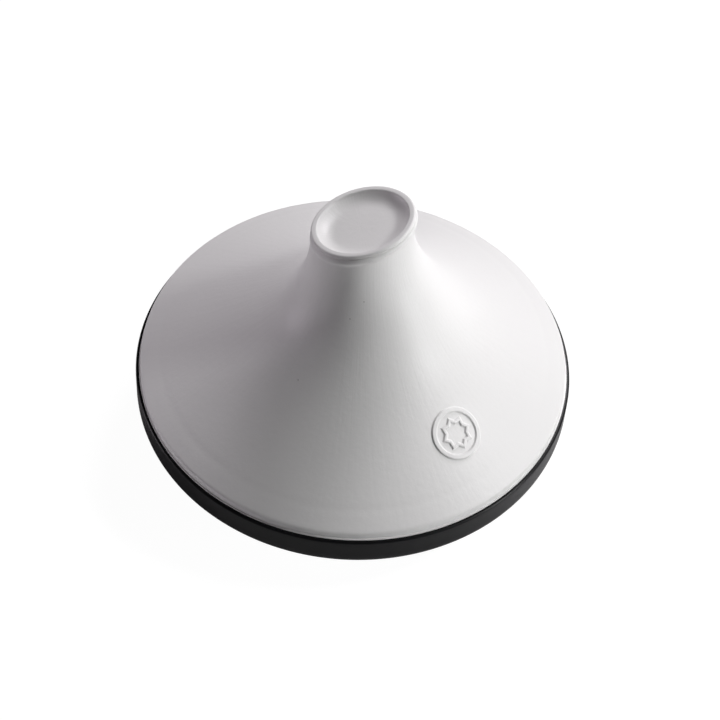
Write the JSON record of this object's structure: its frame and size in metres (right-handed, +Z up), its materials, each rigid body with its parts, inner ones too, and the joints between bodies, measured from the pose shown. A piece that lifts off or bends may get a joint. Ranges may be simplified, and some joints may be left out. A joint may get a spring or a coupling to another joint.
{
  "type": "tagine",
  "caption": "Round stoneware cooking dish with a flared conical lid that rises to a slanted, dished knob.",
  "frame": {"origin": "centre of the foot ring on which the dish stands", "axes": "+Z up, along the axis that the dish and the lid are turned about; +X right, +Y away from the viewer of the picture; the knob's rim slants down towards the back left"},
  "size_m": [0.335, 0.335, 0.2402],
  "materials": {
    "white_glaze": "satin",
    "black_glaze": "satin"
  },
  "bodies": {
    "root": {"dish": "black_glaze", "lid": "white_glaze"}
  },
  "joints": []
}
